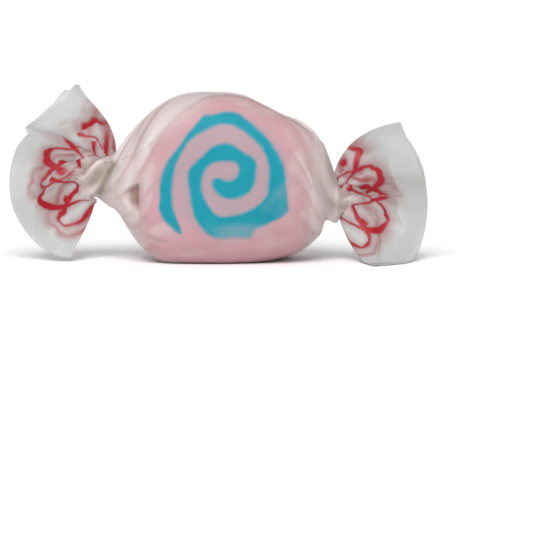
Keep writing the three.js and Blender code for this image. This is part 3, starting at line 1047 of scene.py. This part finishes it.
class TaffySettings(bpy.types.PropertyGroup):
    pink: FloatVectorProperty(
        name="Pink", description="Colour of the lump",
        default=(0.515, 0.31, 0.334), **COLOUR,
    )
    pale: FloatVectorProperty(
        name="Pale pink", description="Colour of the taffy inside the swirl",
        default=(0.395, 0.3, 0.33), **COLOUR,
    )
    rose: FloatVectorProperty(
        name="Deep pink", description="Colour of the faint streaks in the pink",
        default=(0.5, 0.2, 0.24), **COLOUR,
    )
    blue: FloatVectorProperty(
        name="Blue", description="Colour of the swirl",
        default=(0.0, 0.25, 0.328), **COLOUR,
    )
    light_blue: FloatVectorProperty(
        name="Light blue", description="Colour of the faint streaks in the swirl",
        default=(0.01, 0.32, 0.4), **COLOUR,
    )


class PaperSettings(bpy.types.PropertyGroup):
    thickness: FloatProperty(
        name="Thickness", description="Thickness of the waxed sheet", subtype="DISTANCE",
        unit="LENGTH", min=0.00002, max=0.0002, default=0.00006,
    )
    colour: FloatVectorProperty(
        name="Paper", description="Colour of the bare sheet",
        default=(0.86, 0.75, 0.745), **COLOUR,
    )
    free_colour: FloatVectorProperty(
        name="Fans", description="Colour of the sheet in the fans, where light passes through it",
        default=(0.56, 0.565, 0.56), **COLOUR,
    )
    # Colour of the painted shade deep in the folds of the twists.
    gathered_shade_colour: FloatVectorProperty(
        name="Gathers", description="Colour deep in the folds of the twists",
        default=(0.245, 0.188, 0.13), **COLOUR,
    )
    # Colour of the painted shade in the hollow beside the fold on the left shoulder.
    hollow_shade_colour: FloatVectorProperty(
        name="Hollows", description="Colour where the paper dips in beside a fold",
        default=(0.352, 0.2, 0.155), **COLOUR,
    )
    ink: FloatVectorProperty(
        name="Print", description="Colour of the printed strands",
        default=(0.34, 0.0, 0.01), **COLOUR,
    )
    cling_cover: FloatProperty(
        name="Cover where it clings",
        description="How much one face of the sheet hides where it lies on taffy",
        subtype="FACTOR", min=0, max=1, default=0.005,
    )
    lifted_cover: FloatProperty(
        name="Cover where it is lifted",
        description="How much one face of the sheet hides where it is free",
        subtype="FACTOR", min=0, max=1, default=0.36,
    )


class StageSettings(bpy.types.PropertyGroup):
    floor: FloatVectorProperty(
        name="Floor", description="Colour of the floor",
        default=(0.98, 0.98, 0.98), **COLOUR,
    )
    key: FloatProperty(
        name="Key light", description="Strength of the main softbox", min=0, max=20, default=2.3,
    )
    fill: FloatProperty(
        name="Fill", description="Strength of the light from all round", min=0, max=4, default=0.56,
    )


class TAFFY_OT_add_lump(bpy.types.Operator):
    """Model the lump of taffy and the swirl that runs through it"""

    bl_idname = "taffy.add_lump"
    bl_label = "Add Swirled Lump"

    def execute(self, context):
        settings = context.scene.taffy_lump
        lump, ribbon = make_lump(), make_ribbon()
        pink = cut(lump, ribbon, "DIFFERENCE", "taffy_lump_pink")
        blue = cut(lump, ribbon, "INTERSECT", "taffy_ribbon_blue")
        for helper in (lump, ribbon):
            bpy.data.objects.remove(helper)
        pulled_sugar_group()
        pinks = (settings.pink, settings.pale, settings.rose, settings.blue)
        blues = (settings.blue, settings.blue, settings.light_blue, settings.pale)
        finishes = (
            (pink, "taffy_pink", pinks, 0.45, 0.04),
            (blue, "taffy_blue", blues, 0.4, 0.0),
        )
        for piece, slot, colours, bleed, halo in finishes:
            seen = coordinates(piece.data)[:, (0, 2)] / MM
            from_centre = np.hypot(*(seen - SWIRL_CENTRE).T)
            set_attribute(piece.data, "edge_distance", edge_distance(seen))
            set_attribute(piece.data, "inner", smoothstep(from_centre, 8.8, 7))
            colours = [(*colour, 1.0) for colour in colours]
            piece.data.materials.clear()
            piece.data.materials.append(taffy_material(slot, *colours, bleed, halo))
            piece.data.shade_smooth()
            piece.data.set_sharp_from_angle(angle=math.radians(40))
            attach(piece, "root")
        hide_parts("taffy_pink")
        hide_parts("taffy_blue_swirl")
        return {"FINISHED"}


class TAFFY_OT_add_wrapper(bpy.types.Operator):
    """Model the twisted sheet of waxed paper"""

    bl_idname = "taffy.add_wrapper"
    bl_label = "Add Twisted Wrapper"

    def execute(self, context):
        settings = context.scene.taffy_paper
        sheet = make_sheet()
        sheet.data.materials.append(paper_material(settings))
        wall = sheet.modifiers.new("sheet thickness", "SOLIDIFY")
        wall.thickness = settings.thickness
        wall.offset = -1
        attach(sheet, "root")
        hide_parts("waxed_paper")
        return {"FINISHED"}


class TAFFY_OT_set_stage(bpy.types.Operator):
    """Lay the floor and set the soft studio lights and the camera"""

    bl_idname = "taffy.set_stage"
    bl_label = "Set Stage"

    def execute(self, context):
        settings = context.scene.taffy_stage
        scene = context.scene
        bm = bmesh.new()
        bmesh.ops.create_grid(bm, x_segments=1, y_segments=1, size=12)
        floor = object_from(bm, "floor")
        floor.data.materials.append(floor_material(settings.floor))

        world = bpy.data.worlds.new("studio")
        world.use_nodes = True
        background = world.node_tree.nodes["Background"]
        background.inputs["Color"].default_value = (1.0, 1.0, 1.0, 1.0)
        background.inputs["Strength"].default_value = settings.fill
        scene.world = world

        soft_light("key", (-0.1, -0.64, 0.72), 40, settings.key)
        scene.camera = make_camera()
        scene.view_settings.view_transform = "Standard"
        return {"FINISHED"}


def soft_light(name, towards, spread_degrees, power):
    """A large far softbox, as a sun that is many degrees wide."""
    data = bpy.data.lights.new(name, "SUN")
    data.angle = math.radians(spread_degrees)
    data.energy = power
    light = bpy.data.objects.new(name, data)
    light.rotation_euler = Vector(towards).to_track_quat("Z", "Y").to_euler()
    bpy.context.scene.collection.objects.link(light)


CAMERA_AIM = (5.4, 0, -0.96)
CAMERA_ELEVATION = 6
CAMERA_DISTANCE = 400
VIEW_WIDTH = 71.05  # width of the picture at the aim


def make_camera():
    """A long lens, a little above the lump."""
    data = bpy.data.cameras.new("camera")
    data.sensor_width = 36
    data.lens = data.sensor_width * CAMERA_DISTANCE / VIEW_WIDTH
    data.clip_start, data.clip_end = 0.01, 40
    camera = bpy.data.objects.new("camera", data)
    tilt = math.radians(CAMERA_ELEVATION)
    away = Vector((0, -math.cos(tilt), math.sin(tilt))) * CAMERA_DISTANCE
    camera.location = (Vector(CAMERA_AIM) + away) * MM
    camera.rotation_euler = (-away).to_track_quat("-Z", "Y").to_euler()
    bpy.context.scene.collection.objects.link(camera)
    return camera


class TAFFY_PT_panel(bpy.types.Panel):
    """Shows the settings of the lump, the wrapper and the stage, each with the button that makes it."""

    bl_idname = "TAFFY_PT_panel"
    bl_label = "Wrapped Taffy"
    bl_space_type = "VIEW_3D"
    bl_region_type = "UI"
    bl_category = "Taffy"

    def draw(self, context):
        layout = self.layout
        for group, operator in PANEL_ROWS:
            box = layout.box()
            settings = getattr(context.scene, group)
            for name in settings.__annotations__:
                box.prop(settings, name)
            box.operator(operator)


PANEL_ROWS = (
    ("taffy_lump", "taffy.add_lump"),
    ("taffy_paper", "taffy.add_wrapper"),
    ("taffy_stage", "taffy.set_stage"),
)
CLASSES = (
    TaffySettings,
    PaperSettings,
    StageSettings,
    TAFFY_OT_add_lump,
    TAFFY_OT_add_wrapper,
    TAFFY_OT_set_stage,
    TAFFY_PT_panel,
)


def register():
    for cls in CLASSES:
        bpy.utils.register_class(cls)
    bpy.types.Scene.taffy_lump = PointerProperty(type=TaffySettings)
    bpy.types.Scene.taffy_paper = PointerProperty(type=PaperSettings)
    bpy.types.Scene.taffy_stage = PointerProperty(type=StageSettings)


def unregister():
    for name in ("taffy_stage", "taffy_paper", "taffy_lump"):
        delattr(bpy.types.Scene, name)
    for cls in reversed(CLASSES):
        bpy.utils.unregister_class(cls)


def main():
    register()
    bpy.ops.taffy.set_stage()
    bpy.ops.taffy.add_lump()
    bpy.ops.taffy.add_wrapper()


if __name__ == "__main__":
    main()
